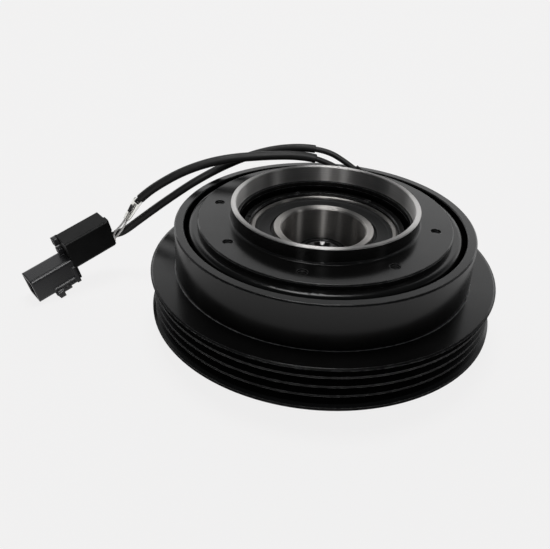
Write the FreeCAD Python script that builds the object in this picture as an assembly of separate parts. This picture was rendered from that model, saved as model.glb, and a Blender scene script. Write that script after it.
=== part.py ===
import FreeCAD, Part
import math
import os

# Electromagnetic clutch of an air-conditioning compressor, standing on its front (hub) side.
# Millimetres. Origin on the clutch axis at the floor; +Z runs along the axis to the rear (coil) side.
# Angles are azimuths about +Z, counted from +X.

V = FreeCAD.Vector
os.makedirs("parts", exist_ok=True)

# --- driving dimensions -------------------------------------------------------------------
# double-row bearing, 30 x 52 x 22
BEARING_BORE_R = 15.0
BEARING_OUTER_R = 26.0
BEARING_FRONT_Z = 15.1
BEARING_WIDTH = 22.0
BEARING_REAR_Z = BEARING_FRONT_Z + BEARING_WIDTH
INNER_RING_R = 17.7          # land beside the seal
INNER_SHOULDER_R = 18.5
OUTER_SHOULDER_R = 22.5
OUTER_RING_BORE_R = 24.3
PITCH_R = 20.5
BALL_R = 2.9
RACE_R = 3.0
ROW_OFFSET = 4.7             # each ball row from the bearing's middle
BALLS_PER_ROW = 14
CAGE_HALF_HEIGHT = 3.6
CAGE_POCKET_R = 3.05
CAGE_WALL = 2.0
SEAL_GAP = 0.08
SEAL_RECESS = 0.6            # seal face below the ring face

# rotor
RIM_OUTER_R = 52.6
RIM_INNER_R = 49.3
RIM_TOP_Z = 39.7
ROTOR_FACE_Z = 7.6           # friction face
ROTOR_DISC_TOP_Z = 14.0
HUB_OUTER_R = 29.4
HUB_LIP_R = 28.5
HUB_LIP_Z = 38.0
FRONT_BORE_R = 24.0
STAKE_COUNT = 6
STAKE_START_DEG = 54.4
FLUX_SLOT_RINGS = ((35.0, 2.0, 6), (46.0, 2.0, 6))   # middle radius, width, count
SLOT_BRIDGE_DEG = 14.0

# belt band, four V grooves
BAND_OUTER_R = 61.6
BAND_BOTTOM_Z = 7.1
BAND_TOP_Z = 23.3
GROOVE_PITCH = 3.56
GROOVE_COUNT = 4
GROOVE_ANGLE_DEG = 40.0
GROOVE_BOTTOM_R = 57.9
RIDGE_R = 60.6
FIRST_GROOVE_Z = 10.65

# coil shell and mounting flange
COIL_OUTER_R = 48.0
COIL_INNER_R = 30.0
COIL_FRONT_Z = 15.4
COIL_BACK_Z = 39.5
SHELL_WALL = 2.0
SHELL_BEND_R = 1.9
PLATE_R = 44.5
PLATE_TOP_Z = 41.5
COLLAR_OUTER_R = 32.8
COLLAR_BORE_R = 31.0
COLLAR_TOP_Z = 47.0
COLLAR_SEAT_Z = 41.1
PUNCH_CIRCLE_R = 38.4
PUNCH_R = 1.75
PUNCH_DEPTH = 0.7
PUNCH_COUNT = 8
PUNCH_START_DEG = -8.0

# hub and armature
BOSS_R = 9.6
BOSS_TOP_Z = 28.2
BOSS_FRONT_Z = 0.5
SPLINE_TIP_R = 5.4
SPLINE_ROOT_R = 6.5
SPLINE_TEETH = 10
SPLINE_BOTTOM_Z = 9.0
HUB_PLATE_Z = (1.0, 3.0)
HUB_ARM_R = 37.0             # rivets' circle
HUB_ARM_HALF_WIDTH = 7.0
HUB_DISC_R = 17.0
SPRING_THICKNESS = 0.4
ARMATURE_Z = (3.42, 7.1)
JOINT_GAP = 0.02             # between the springs and the armature's pieces
ARMATURE_OUTER_R = 51.5
ARMATURE_INNER_R = 27.0
RIVET_SHANK_R = 2.5
HUB_RIVET_DEG = (90.0, 210.0, 330.0)
ARMATURE_RIVET_DEG = (150.0, 270.0, 30.0)
STOP_R = 3.4                 # rubber stop
STOP_CIRCLE_R = 27.5

# leads
WIRE_D = 2.2
SLEEVE_A_D = 3.5
SLEEVE_B_D = 3.1
SLEEVE_GAP = 0.05
STRAND_D = 0.8
GROMMET_SLOT = (3.0, 13.0, 37.6)     # x from, x to, y of the slot's middle line
GROMMET_SLOT_R = 2.9
GROMMET_ROOT_R = 2.0                 # in the coil shell
GROMMET_TOP_Z = 43.0
BOOT_D = 3.8
BOOT_LENGTH = 3.6
LEAD_A_ROUTE = (
    (4.6, 37.4, 43.6), (-1.4, 37.0, 46.8), (-10.5, 35.8, 49.2), (-25.5, 32.9, 49.2), (-41.0, 28.8, 48.4),
    (-54.5, 25.0, 44.7), (-65.5, 22.0, 38.6), (-71.2, 20.6, 34.2), (-73.8, 19.7, 31.6),
)
LEAD_B_ROUTE = (
    (10.4, 38.0, 43.8), (6.4, 38.6, 46.5), (-0.6, 39.4, 50.1), (-11.5, 39.8, 51.0), (-25.0, 39.4, 48.9),
    (-38.4, 35.2, 44.6), (-51.5, 27.6, 39.0), (-64.0, 22.4, 30.8), (-73.6, 20.1, 23.5), (-79.2, 19.8, 18.8),
    (-82.4, 19.65, 17.1), (-85.75, 19.55, 16.3),
)
SLEEVE_A_START = 10.6        # along the lead from the grommet
SLEEVE_A_END = 83.8
SLEEVE_B_START = 17.6
SLEEVE_B_END = 108.2
SPLICE_FROM = (-73.2, 19.9, 32.2)
SPLICE_TO = (-77.8, 18.2, 24.9)
SPLICE_RADII = (1.95, 1.3)
SPLICE_WALL = 0.18
STRAND_ROUTES = (
    (
        (-73.9, 19.4, 31.0), (-75.5, 18.7, 28.0), (-77.6, 17.7, 24.6), (-79.4, 17.0, 20.9),
        (-81.6, 16.8, 17.9), (-83.15, 16.95, 16.2),
    ),
    (
        (-74.4, 19.8, 31.0), (-76.3, 19.2, 28.2), (-78.2, 18.7, 24.9), (-80.9, 18.4, 21.0),
        (-83.3, 17.8, 18.8), (-83.8, 17.6, 16.2),
    ),
)
DIODE_R = 0.7
DIODE_ENDS = ((-75.15, 18.5, 31.0), (-76.45, 17.95, 28.4))

# connector, in its own frame: x from the mouth to the rear, y across, z up
CONNECTOR_TIP = (-106.0, -9.0, 0.15)
CONNECTOR_HEADING_DEG = 44.5
CONNECTOR_PITCH_DEG = 14.5
CONNECTOR_ROLL_DEG = 2.0
SHROUD = (17.6, 9.2, 10.4)
SHROUD_WALL = 1.1
SHROUD_DEPTH = 13.0
SHROUD_EDGE_R = 1.2
BOX_X = (17.6, 36.4)
BOX_Y = (-0.3, 9.3)
BOX_Z = (6.05, 17.9)
BOX_EDGE_R = 0.9
TOWER_Y = (1.2, 8.6)         # moulding round the two wire cavities, below the box
TOWER_Z = (4.4, 9.0)
EYE_LENGTH = 2.0             # two clip eyes stand out from the box's front face
EYES = (((6.7, 9.6), (14.3, 17.7)), ((5.7, 8.7), (10.5, 13.3)))      # y and z spans
EYE_WALL = 0.65
CAVITY_Y = (3.2, 6.4)
CAVITY_Z = 6.8
SEAL_R = 1.4
SEAL_X = (29.0, 37.4)
PIN_HALF = 0.6
PIN_X = (7.0, 29.0)


# --- helpers ------------------------------------------------------------------------------
def polar(radius, degrees, z=0.0):
    angle = math.radians(degrees)
    return V(radius * math.cos(angle), radius * math.sin(angle), z)


def lathe(outline, degrees=360.0):
    """Solid of revolution about the clutch axis from a closed outline of (radius, height)."""
    points = [V(r, 0, z) for r, z in outline]
    face = Part.Face(Part.makePolygon(points + points[:1]))
    return face.revolve(V(0, 0, 0), V(0, 0, 1), degrees)


def tube(inner_r, outer_r, low_z, high_z):
    return lathe([(inner_r, low_z), (outer_r, low_z), (outer_r, high_z), (inner_r, high_z)])


def disc(radius, low_z, high_z, centre=None):
    base = centre or V(0, 0, 0)
    return Part.makeCylinder(radius, high_z - low_z, V(base.x, base.y, low_z))


def block(x, y, z):
    return Part.makeBox(x[1] - x[0], y[1] - y[0], z[1] - z[0], V(x[0], y[0], z[0]))


def turned(shape, degrees):
    copy = shape.copy()
    copy.rotate(V(0, 0, 0), V(0, 0, 1), degrees)
    return copy


def obround(start, end, radius, low_z, high_z):
    """Upright slot body between two points, with round ends."""
    along = V(end.x - start.x, end.y - start.y, 0)
    bar = Part.makeBox(along.Length, 2 * radius, high_z - low_z, V(0, -radius, low_z))
    bar.rotate(V(0, 0, 0), V(0, 0, 1), math.degrees(math.atan2(along.y, along.x)))
    bar.translate(V(start.x, start.y, 0))
    ends = [disc(radius, low_z, high_z, point) for point in (start, end)]
    return bar.fuse(ends).removeSplitter()


def arc_slot(middle_r, width, start_deg, sweep_deg, low_z, high_z):
    """Curved slot body about the axis, with round ends."""
    low, high = middle_r - width / 2, middle_r + width / 2
    bow = turned(lathe([(low, low_z), (high, low_z), (high, high_z), (low, high_z)], sweep_deg), start_deg)
    ends = [disc(width / 2, low_z, high_z, polar(middle_r, a)) for a in (start_deg, start_deg + sweep_deg)]
    return bow.fuse(ends)


def circle_edges(shape, radius, z):
    """Full-circle edges about the clutch axis at one radius and height."""
    found = []
    for edge in shape.Edges:
        curve = edge.Curve
        if not isinstance(curve, Part.Circle):
            continue
        if abs(curve.Radius - radius) < 0.02 and abs(curve.Center.z - z) < 0.02:
            if math.hypot(curve.Center.x, curve.Center.y) < 0.02:
                found.append(edge)
    return found


def edges_along_x(shape, y=None, z=None):
    """Straight edges parallel to X, optionally only those at one y or z."""
    found = []
    for edge in shape.Edges:
        if len(edge.Vertexes) != 2:
            continue
        a, b = edge.Vertexes[0].Point, edge.Vertexes[1].Point
        if abs(a.y - b.y) > 0.01 or abs(a.z - b.z) > 0.01:
            continue
        if (y is None or abs(a.y - y) < 0.01) and (z is None or abs(a.z - z) < 0.01):
            found.append(edge)
    return found


def save(name, shape):
    solids = shape.Solids
    result = solids[0] if len(solids) == 1 else Part.makeCompound(solids)
    result.exportStep(f"parts/{name}.step")
    box = result.BoundBox
    print(f"{name:22s} solids {len(solids):3d} valid {result.isValid()} volume {result.Volume:10.1f}"
          f"  z {box.ZMin:6.2f} {box.ZMax:6.2f}")
    return result


# --- bearing ------------------------------------------------------------------------------
def row_heights():
    middle = BEARING_FRONT_Z + BEARING_WIDTH / 2
    return (middle - ROW_OFFSET, middle + ROW_OFFSET)


def races():
    return [Part.makeTorus(PITCH_R, RACE_R, V(0, 0, z)) for z in row_heights()]


def bearing_inner_ring():
    step = 2.3                                           # land beside each seal
    edge = 0.5                                           # chamfer at the bore
    low, high = BEARING_FRONT_Z, BEARING_REAR_Z
    outline = [
        (BEARING_BORE_R + edge, low), (INNER_RING_R, low), (INNER_RING_R, low + step),
        (INNER_SHOULDER_R, low + step), (INNER_SHOULDER_R, high - step), (INNER_RING_R, high - step),
        (INNER_RING_R, high), (BEARING_BORE_R + edge, high), (BEARING_BORE_R, high - edge),
        (BEARING_BORE_R, low + edge),
    ]
    return lathe(outline).cut(races())


def bearing_outer_ring():
    step = 2.3
    edge = 0.5
    low, high = BEARING_FRONT_Z, BEARING_REAR_Z
    outline = [
        (OUTER_RING_BORE_R, low), (BEARING_OUTER_R - edge, low), (BEARING_OUTER_R, low + edge),
        (BEARING_OUTER_R, high - edge), (BEARING_OUTER_R - edge, high), (OUTER_RING_BORE_R, high),
        (OUTER_RING_BORE_R, high - step), (OUTER_SHOULDER_R, high - step),
        (OUTER_SHOULDER_R, low + step), (OUTER_RING_BORE_R, low + step),
    ]
    return lathe(outline).cut(races())


def bearing_balls():
    balls = []
    for row, z in enumerate(row_heights()):
        for i in range(BALLS_PER_ROW):
            angle = 360.0 / BALLS_PER_ROW * (i + row / 2)
            balls.append(Part.makeSphere(BALL_R, polar(PITCH_R, angle, z)))
    return Part.makeCompound(balls)


def bearing_cages():
    inner, outer = PITCH_R - CAGE_WALL / 2, PITCH_R + CAGE_WALL / 2
    cages = []
    for row, z in enumerate(row_heights()):
        ring = tube(inner, outer, z - CAGE_HALF_HEIGHT, z + CAGE_HALF_HEIGHT)
        pockets = []
        for i in range(BALLS_PER_ROW):
            outward = polar(1.0, 360.0 / BALLS_PER_ROW * (i + row / 2))
            start = outward * (PITCH_R - CAGE_WALL) + V(0, 0, z)
            pockets.append(Part.makeCylinder(CAGE_POCKET_R, 2 * CAGE_WALL, start, outward))
        cages.append(ring.cut(pockets))
    return Part.makeCompound(cages)


def bearing_seal(rear):
    """Pressed seal, low beside the inner ring; the front one is its mirror image."""
    inner, outer = INNER_RING_R + SEAL_GAP, OUTER_RING_BORE_R
    outline = [
        (inner, -0.5), (inner, -0.1), (inner + 0.8, -0.1), (inner + 1.1, 0.75), (inner + 1.7, 0.85),
        (outer - 1.5, 0.85), (outer - 1.1, 1.0), (outer, 1.0), (outer, -0.2), (outer - 1.6, -0.2),
        (inner + 1.4, -0.2), (inner + 1.0, -0.5),
    ]
    if rear:
        face_z = BEARING_REAR_Z - SEAL_RECESS - 1.0
        return lathe([(r, face_z + z) for r, z in outline])
    face_z = BEARING_FRONT_Z + SEAL_RECESS + 1.0
    return lathe([(r, face_z - z) for r, z in reversed(outline)])


# --- rotor --------------------------------------------------------------------------------
def rotor():
    chamfer = 0.5
    outline = [
        (FRONT_BORE_R, ROTOR_FACE_Z), (RIM_OUTER_R, ROTOR_FACE_Z), (RIM_OUTER_R, RIM_TOP_Z - chamfer),
        (RIM_OUTER_R - chamfer, RIM_TOP_Z), (RIM_INNER_R + 0.3, RIM_TOP_Z), (RIM_INNER_R, RIM_TOP_Z - 0.3),
        (RIM_INNER_R, ROTOR_DISC_TOP_Z), (HUB_OUTER_R, ROTOR_DISC_TOP_Z), (HUB_OUTER_R, HUB_LIP_Z - 3.0),
        (HUB_LIP_R, HUB_LIP_Z - 2.1), (HUB_LIP_R, HUB_LIP_Z - 0.3), (HUB_LIP_R - 0.3, HUB_LIP_Z),
        (BEARING_OUTER_R + 0.4, HUB_LIP_Z), (BEARING_OUTER_R, HUB_LIP_Z - 0.4),
        (BEARING_OUTER_R, BEARING_FRONT_Z), (FRONT_BORE_R, BEARING_FRONT_Z),
    ]
    body = lathe(outline)
    cuts = []
    for middle_r, width, count in FLUX_SLOT_RINGS:
        for i in range(count):
            start = 360.0 / count * i + SLOT_BRIDGE_DEG / 2
            sweep = 360.0 / count - SLOT_BRIDGE_DEG
            cuts.append(arc_slot(middle_r, width, start, sweep, ROTOR_FACE_Z - 1, ROTOR_DISC_TOP_Z + 1))
    cuts.append(lining_groove())
    for i in range(STAKE_COUNT):
        centre = polar(BEARING_OUTER_R + 1.3, STAKE_START_DEG + 360.0 / STAKE_COUNT * i)
        cuts.append(Part.makeCone(0.5, 1.1, 0.7, V(centre.x, centre.y, HUB_LIP_Z - 0.65)))
    return body.cut(cuts)


def lining_groove():
    return tube(38.5, 42.5, ROTOR_FACE_Z - 1.0, ROTOR_FACE_Z + 1.8)


def friction_lining():
    return tube(38.5, 42.5, ROTOR_FACE_Z, ROTOR_FACE_Z + 1.8)


def pulley_band():
    """Band with four V grooves between two flanges; it sits on the rotor's rim."""
    half_floor = 0.45
    half_mouth = half_floor + (RIDGE_R - GROOVE_BOTTOM_R) * math.tan(math.radians(GROOVE_ANGLE_DEG / 2))
    last_z = FIRST_GROOVE_Z + GROOVE_PITCH * (GROOVE_COUNT - 1)
    outline = [
        (RIM_OUTER_R, BAND_BOTTOM_Z), (BAND_OUTER_R - 0.4, BAND_BOTTOM_Z),
        (BAND_OUTER_R, BAND_BOTTOM_Z + 0.4),
        (BAND_OUTER_R, FIRST_GROOVE_Z - half_mouth - 0.7), (RIDGE_R, FIRST_GROOVE_Z - half_mouth),
    ]
    for i in range(GROOVE_COUNT):
        z = FIRST_GROOVE_Z + GROOVE_PITCH * i
        outline += [(GROOVE_BOTTOM_R, z - half_floor), (GROOVE_BOTTOM_R, z + half_floor)]
        outline.append((RIDGE_R, z + half_mouth))
        if i < GROOVE_COUNT - 1:
            outline.append((RIDGE_R, z + GROOVE_PITCH - half_mouth))
    outline += [
        (BAND_OUTER_R - 0.5, last_z + half_mouth), (BAND_OUTER_R, last_z + half_mouth + 0.2),
        (BAND_OUTER_R, BAND_TOP_Z - 0.45), (BAND_OUTER_R - 0.8, BAND_TOP_Z), (RIM_OUTER_R, BAND_TOP_Z),
    ]
    return lathe(outline)


# --- coil and mounting flange -------------------------------------------------------------
def grommet_slot(radius, low_z, high_z):
    x_from, x_to, y = GROMMET_SLOT
    return obround(V(x_from, y, 0), V(x_to, y, 0), radius, low_z, high_z)


def coil_housing():
    """Pressed steel ring, U-shaped in section and open towards the rotor's disc."""
    inner, outer, web_z = COIL_INNER_R + SHELL_WALL, COIL_OUTER_R - SHELL_WALL, COIL_BACK_Z - SHELL_WALL
    outline = [
        (COIL_INNER_R, COIL_FRONT_Z), (inner, COIL_FRONT_Z), (inner, web_z), (outer, web_z),
        (outer, COIL_FRONT_Z), (COIL_OUTER_R, COIL_FRONT_Z), (COIL_OUTER_R, COIL_BACK_Z),
        (COIL_INNER_R, COIL_BACK_Z),
    ]
    shell = lathe(outline)
    shell = shell.makeFillet(SHELL_BEND_R, circle_edges(shell, COIL_OUTER_R, COIL_BACK_Z))
    return shell.cut(grommet_slot(GROMMET_ROOT_R, web_z - 1, COIL_BACK_Z + 1))


def coil_bobbin():
    inner, outer = COIL_INNER_R + SHELL_WALL, COIL_OUTER_R - SHELL_WALL
    low, high = COIL_FRONT_Z + 1.0, COIL_BACK_Z - SHELL_WALL
    wall = 1.0
    return lathe([
        (inner, low), (outer, low), (outer, low + wall), (inner + wall, low + wall),
        (inner + wall, high - wall), (outer, high - wall), (outer, high), (inner, high),
    ])


def coil_winding():
    low, high = COIL_FRONT_Z + 2.0, COIL_BACK_Z - SHELL_WALL - 1.0
    return tube(COIL_INNER_R + SHELL_WALL + 1.0, COIL_OUTER_R - SHELL_WALL, low, high)


def coil_potting():
    return tube(COIL_INNER_R + SHELL_WALL, COIL_OUTER_R - SHELL_WALL, COIL_FRONT_Z, COIL_FRONT_Z + 1.0)


def punch_mark(degrees):
    """Round flat-bottomed pit that a punch leaves in the plate."""
    centre = polar(PUNCH_CIRCLE_R, degrees)
    floor_z = PLATE_TOP_Z - PUNCH_DEPTH
    return Part.makeCone(PUNCH_R - 0.12, PUNCH_R, PUNCH_DEPTH, V(centre.x, centre.y, floor_z))


def mounting_flange():
    """Plate with the locating collar; a small fillet runs round the collar's foot."""
    foot = 0.9
    lip = 0.25
    outline = [
        (COIL_INNER_R, COIL_BACK_Z), (PLATE_R, COIL_BACK_Z), (PLATE_R, PLATE_TOP_Z - 0.4),
        (PLATE_R - 0.4, PLATE_TOP_Z), (COLLAR_OUTER_R, PLATE_TOP_Z), (COLLAR_OUTER_R, COLLAR_TOP_Z - lip),
        (COLLAR_OUTER_R - lip, COLLAR_TOP_Z), (COLLAR_BORE_R + lip, COLLAR_TOP_Z),
        (COLLAR_BORE_R, COLLAR_TOP_Z - lip), (COLLAR_BORE_R, COLLAR_SEAT_Z), (COIL_INNER_R, COLLAR_SEAT_Z),
    ]
    body = lathe(outline)
    body = body.makeFillet(foot, circle_edges(body, COLLAR_OUTER_R, PLATE_TOP_Z))
    cuts = [punch_mark(PUNCH_START_DEG + 360.0 / PUNCH_COUNT * i) for i in range(PUNCH_COUNT)]
    cuts.append(grommet_slot(GROMMET_SLOT_R, COIL_BACK_Z - 1, PLATE_TOP_Z + 1))
    return body.cut(cuts)


# --- hub and armature ---------------------------------------------------------------------
def hub_boss():
    """Splined boss with a flange behind the hub plate and a spigot through it."""
    front, top = BOSS_FRONT_Z, BOSS_TOP_Z
    plate_low, plate_high = HUB_PLATE_Z
    outline = [
        (7.5, front), (8.9, front), (8.9, plate_high), (14.0, plate_high), (14.0, plate_high + 1.6),
        (13.6, plate_high + 2.0), (BOSS_R, plate_high + 2.0), (BOSS_R, top - 0.9), (BOSS_R - 0.9, top),
        (SPLINE_ROOT_R + 0.9, top), (SPLINE_TIP_R, top - 1.4), (SPLINE_TIP_R, SPLINE_BOTTOM_Z),
        (7.5, SPLINE_BOTTOM_Z),
    ]
    body = lathe(outline)
    half_width = 0.32 * math.pi * SPLINE_TIP_R / SPLINE_TEETH * 2
    cuts = []
    for i in range(SPLINE_TEETH):
        space = block((0, SPLINE_ROOT_R), (-half_width, half_width), (SPLINE_BOTTOM_Z - 1, top + 1))
        cuts.append(turned(space, 360.0 / SPLINE_TEETH * i))
    return body.cut(cuts)


def hub_plate():
    """Three-armed plate that carries the leaf springs' inner rivets and the rubber stops."""
    low, high = HUB_PLATE_Z
    plate = disc(HUB_DISC_R, low, high)
    for angle in HUB_RIVET_DEG:
        plate = plate.fuse(obround(V(0, 0, 0), polar(HUB_ARM_R, angle), HUB_ARM_HALF_WIDTH, low, high))
    plate = plate.removeSplitter()
    cuts = [disc(8.9, low - 1, high + 1)]
    for angle in HUB_RIVET_DEG:
        cuts.append(disc(RIVET_SHANK_R, low - 1, high + 1, polar(HUB_ARM_R, angle)))
        cuts.append(disc(STOP_R, low - 1, high + 1, polar(STOP_CIRCLE_R, angle)))
    return plate.cut(cuts)


def rubber_stops():
    """Buffers through the hub plate that the armature rests on when the coil is off."""
    low, high = HUB_PLATE_Z
    stops = []
    for angle in HUB_RIVET_DEG:
        centre = polar(STOP_CIRCLE_R, angle)
        stop = disc(STOP_R, low, ARMATURE_Z[0] - 0.1, centre)
        stops.append(stop.fuse(disc(STOP_R + 0.8, low - 0.7, low, centre)).removeSplitter())
    return Part.makeCompound(stops)


def hub_rivets():
    """Rivets at the ends of the arms; their front heads are what the clutch stands on."""
    low, high = HUB_PLATE_Z
    rivets = []
    for angle in HUB_RIVET_DEG:
        centre = polar(HUB_ARM_R, angle)
        shank = disc(RIVET_SHANK_R, low, high + SPRING_THICKNESS, centre)
        front = Part.makeCone(3.6, 4.6, low, V(centre.x, centre.y, 0))
        rear = Part.makeCone(4.0, 3.2, 1.2, V(centre.x, centre.y, high + SPRING_THICKNESS))
        rivets.append(shank.fuse([front, rear]).removeSplitter())
    return Part.makeCompound(rivets)


def armature_rivets():
    """Rivets that hold the springs' outer ends, countersunk into the armature's friction face."""
    head_z = HUB_PLATE_Z[1] - JOINT_GAP
    high = ARMATURE_Z[1]
    rivets = []
    for angle in ARMATURE_RIVET_DEG:
        centre = polar(HUB_ARM_R, angle)
        shank = disc(RIVET_SHANK_R, head_z, high - 0.2, centre)
        front = Part.makeCone(3.4, 4.2, 1.2, V(centre.x, centre.y, head_z - 1.2))
        sunk = Part.makeCone(RIVET_SHANK_R, RIVET_SHANK_R + 1.5, 1.5, V(centre.x, centre.y, high - 1.7))
        rivets.append(shank.fuse([front, sunk]).removeSplitter())
    return Part.makeCompound(rivets)


def leaf_springs():
    """Three flat springs, each from a hub rivet to an armature rivet."""
    low = HUB_PLATE_Z[1]
    high = low + SPRING_THICKNESS
    springs = []
    for hub_angle, armature_angle in zip(HUB_RIVET_DEG, ARMATURE_RIVET_DEG):
        start, end = polar(HUB_ARM_R, hub_angle), polar(HUB_ARM_R, armature_angle)
        leaf = obround(start, end, 4.4, low, high)
        inner_hole = disc(RIVET_SHANK_R, low - 1, high + 1, start)
        outer_hole = disc(RIVET_SHANK_R + 2 * JOINT_GAP, low - 1, high + 1, end)
        springs.append(leaf.cut([inner_hole, outer_hole]))
    return Part.makeCompound(springs)


def armature_plate():
    low, high = ARMATURE_Z
    plate = tube(ARMATURE_INNER_R, ARMATURE_OUTER_R, low, high)
    plate = plate.makeChamfer(0.4, circle_edges(plate, ARMATURE_OUTER_R, low))
    cuts = []
    for i in range(6):
        start = 60.0 * i + SLOT_BRIDGE_DEG / 2
        cuts.append(arc_slot(44.5, 1.8, start, 60.0 - SLOT_BRIDGE_DEG, low - 1, high + 1))
    for angle in HUB_RIVET_DEG:
        cuts.append(disc(5.2, low - 1, high + 1, polar(HUB_ARM_R, angle)))
    plate = plate.cut(cuts)
    for angle in ARMATURE_RIVET_DEG:
        centre = polar(HUB_ARM_R, angle)
        hole = disc(RIVET_SHANK_R, low - 1, high + 1, centre)
        sink = Part.makeCone(RIVET_SHANK_R, RIVET_SHANK_R + 1.9, 1.9, V(centre.x, centre.y, high - 1.7))
        plate = plate.cut([hole, sink])
    return plate


# --- leads --------------------------------------------------------------------------------
def rounded_route(points):
    """Straight runs joined by tangent arcs, each as large as its two runs allow."""
    nodes = [V(*p) for p in points]
    edges, radii = [], []
    start = nodes[0]
    for before, corner, after in zip(nodes, nodes[1:], nodes[2:]):
        back = (before - corner).normalize()
        ahead = (after - corner).normalize()
        turn = math.pi - back.getAngle(ahead)
        reach = 0.45 * min((before - corner).Length, (after - corner).Length)
        radius = reach / math.tan(turn / 2)
        enter, leave = corner + back * reach, corner + ahead * reach
        middle_dir = (back + ahead).normalize()
        middle = corner + middle_dir * (math.hypot(radius, reach) - radius)
        edges.append(Part.LineSegment(start, enter).toShape())
        edges.append(Part.Arc(enter, middle, leave).toShape())
        radii.append(radius)
        start = leave
    edges.append(Part.LineSegment(start, nodes[-1]).toShape())
    return edges, radii


def stretch(edges, start, end):
    """The part of a path between two distances along it."""
    kept, walked = [], 0.0
    for edge in edges:
        low, high = max(start - walked, 0.0), min(end - walked, edge.Length)
        if high - low > 0.02:
            first = edge.getParameterByLength(low)
            last = edge.getParameterByLength(high)
            kept.append(edge.Curve.toShape(first, last))
        walked += edge.Length
    return kept


def pipe(edges, diameter):
    """Round solid along a path of tangent edges."""
    path = Part.Wire(edges)
    first = edges[0]
    begin = first.valueAt(first.FirstParameter)
    direction = first.tangentAt(first.FirstParameter)
    section = Part.Wire(Part.Circle(begin, direction, diameter / 2).toShape())
    solid = path.makePipeShell([section], True, False)
    expected = math.pi * diameter ** 2 / 4 * path.Length
    print(f"  pipe length {path.Length:.1f}, volume / expected {solid.Volume / expected:.4f}")
    return solid


def sleeve(edges, outer_d, inner_d):
    return pipe(edges, outer_d).cut(pipe(edges, inner_d))


def lead_grommet():
    """Rubber grommet through the plate, with a boot for each lead."""
    seat = grommet_slot(GROMMET_SLOT_R, COIL_BACK_Z, PLATE_TOP_Z)
    root = grommet_slot(GROMMET_ROOT_R, COIL_BACK_Z - SHELL_WALL, COIL_BACK_Z)
    cap = grommet_slot(GROMMET_SLOT_R, PLATE_TOP_Z, GROMMET_TOP_Z)
    body = seat.fuse([root, cap])
    for route in (LEAD_A_ROUTE, LEAD_B_ROUTE):
        tip = V(*route[0])
        back = (tip - V(*route[1])).normalize()
        body = body.fuse(Part.makeCylinder(BOOT_D / 2, BOOT_LENGTH, tip, back))
    return body.removeSplitter()


def splice_sleeve():
    """Clear heat-shrink sleeve, tapering towards the connector."""
    start, end = V(*SPLICE_FROM), V(*SPLICE_TO)
    along = end - start
    wide, narrow = SPLICE_RADII
    outer = Part.makeCone(wide, narrow, along.Length, start, along)
    inner = Part.makeCone(wide - SPLICE_WALL, narrow - SPLICE_WALL, along.Length, start, along)
    return outer.cut(inner)


def tinned_strands():
    strands = []
    for route in STRAND_ROUTES:
        edges, radii = rounded_route(route)
        print("  strand radii", [round(r, 1) for r in radii])
        strands.append(pipe(edges, STRAND_D))
    return Part.makeCompound(strands)


def suppressor_diode():
    start, end = V(*DIODE_ENDS[0]), V(*DIODE_ENDS[1])
    along = end - start
    return Part.makeCylinder(DIODE_R, along.Length, start, along)


# --- connector ----------------------------------------------------------------------------
def place_connector(shape):
    """From the connector's own frame to the clutch's."""
    turn = FreeCAD.Rotation(V(0, 0, 1), CONNECTOR_HEADING_DEG)
    turn = turn.multiply(FreeCAD.Rotation(V(0, 1, 0), -CONNECTOR_PITCH_DEG))
    turn = turn.multiply(FreeCAD.Rotation(V(1, 0, 0), CONNECTOR_ROLL_DEG))
    placed = shape.copy()
    placed.Placement = FreeCAD.Placement(V(*CONNECTOR_TIP), turn)
    return placed


def along_x(radius, x_from, x_to, y, z):
    return Part.makeCylinder(radius, x_to - x_from, V(x_from, y, z), V(1, 0, 0))


def rounded_block(x, y, z, radius):
    bar = block(x, y, z)
    return bar.makeFillet(radius, edges_along_x(bar))


def wedge(x, y, z_low, z_high, slope):
    """Block whose front end slopes back at its foot, for a latch."""
    outline = [(x[0], z_high), (x[0] + slope, z_low), (x[1], z_low), (x[1], z_high)]
    points = [V(px, y[0], pz) for px, pz in outline]
    return Part.Face(Part.makePolygon(points + points[:1])).extrude(V(0, y[1] - y[0], 0))


def clip_eye(y, z):
    """Small loop on the box's front face, open from front to back."""
    x = (BOX_X[0] - EYE_LENGTH, BOX_X[0] + EYE_WALL)
    hole_y = (y[0] + EYE_WALL, y[1] - EYE_WALL)
    hole_z = (z[0] + EYE_WALL, z[1] - EYE_WALL)
    return rounded_block(x, y, z, 0.5).cut(block((x[0] - 1, BOX_X[0]), hole_y, hole_z))


def connector_housing():
    """Shroud, rear box and wire tower in one moulding, with a latch underneath."""
    length, width, height = SHROUD
    body = rounded_block((0, length + 1), (0, width), (0, height), SHROUD_EDGE_R)
    box = rounded_block(BOX_X, BOX_Y, BOX_Z, BOX_EDGE_R)
    tower = rounded_block((length - 0.5, BOX_X[1]), TOWER_Y, TOWER_Z, 1.2)
    lug = rounded_block((BOX_X[1] - 1, BOX_X[1] + 2.1), (5.5, 8.9), (8.5, 14.3), 0.6)
    collar = block((BOX_X[0] - 1.5, BOX_X[0] + 0.1), (-0.7, width + 0.2), (-0.3, BOX_Z[0] + 1))
    rail = block((6.8, length), (-0.7, 0.5), (0.2, 2.4))
    rail_foot = block((6.8, 13.4), (-0.7, 0.5), (-0.9, 0.3))
    latch = wedge((6.6, 9.8), (-1.6, 6.0), -2.0, 0.5, 0.9)
    eyes = [clip_eye(y, z) for y, z in EYES]
    body = body.fuse([box, tower, lug, collar, rail, rail_foot, latch] + eyes).removeSplitter()
    return body.cut(connector_cuts())


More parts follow.
